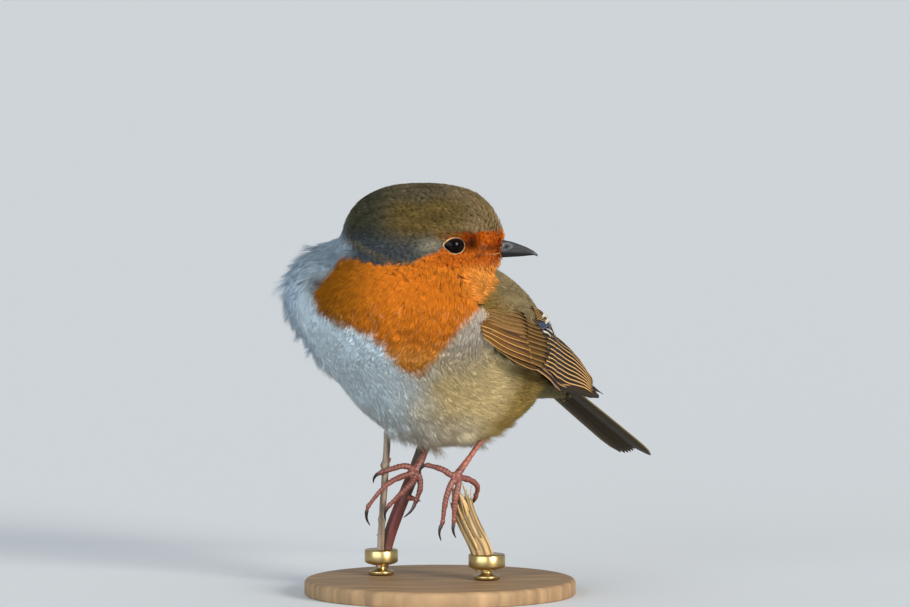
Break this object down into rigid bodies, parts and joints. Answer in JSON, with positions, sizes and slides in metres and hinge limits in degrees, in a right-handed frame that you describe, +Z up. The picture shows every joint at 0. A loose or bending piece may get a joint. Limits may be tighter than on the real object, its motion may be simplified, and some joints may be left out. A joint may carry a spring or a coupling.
{
  "type": "robin model",
  "caption": "Life-size European robin, plumage fluffed, perched on short cut stems with its head turned over its left shoulder, on a round display stand.",
  "frame": {"origin": "centre of the stand base's flat underside", "axes": "+Z up, +X towards the side that the bill points to, -Y towards the viewer that the breast half faces"},
  "size_m": [0.0934, 0.0941, 0.1039],
  "materials": {
    "plumage": "soft matt feather, olive above, orange on face and breast, white below",
    "flight_feather": "smooth satin feather vane, dark brown with buff edges",
    "bill_horn": "dark grey horn, satin",
    "eye": "wet black gloss",
    "leg_skin": "reddish brown scaly skin, satin",
    "claw_horn": "dark horn, satin",
    "straw": "dry fibrous stalk, matt",
    "twig_bark": "thin grey bark, matt",
    "cane_bark": "dark red bramble bark, satin",
    "stand_wood": "turned and oiled wood, satin",
    "stand_brass": "turned brass, brushed"
  },
  "bodies": {
    "root": {"head": "plumage", "neck": "plumage", "trunk": "plumage", "tail": "flight_feather", "wing_left_coverts": "flight_feather", "wing_left_secondaries": "flight_feather", "wing_left_primaries": "flight_feather", "wing_right_coverts": "flight_feather", "wing_right_secondaries": "flight_feather", "wing_right_primaries": "flight_feather", "bill_upper": "bill_horn", "bill_lower": "bill_horn", "eye_left": "eye", "eye_right": "eye", "leg_left_tarsus": "leg_skin", "leg_right_tarsus": "leg_skin", "toe_left_middle": "leg_skin", "toe_left_outer": "leg_skin", "toe_left_inner": "leg_skin", "toe_left_hind": "leg_skin", "toe_right_middle": "leg_skin", "toe_right_outer": "leg_skin", "toe_right_inner": "leg_skin", "toe_right_hind": "leg_skin", "claw_left_middle": "claw_horn", "claw_left_outer": "claw_horn", "claw_left_inner": "claw_horn", "claw_left_hind": "claw_horn", "claw_right_middle": "claw_horn", "claw_right_outer": "claw_horn", "claw_right_inner": "claw_horn", "claw_right_hind": "claw_horn", "perch_straw_stem": "straw", "perch_grey_twig": "twig_bark", "perch_red_cane": "cane_bark", "stand_base": "stand_wood", "stand_rod_straw": "stand_brass", "stand_rod_cane": "stand_brass"}
  },
  "joints": []
}
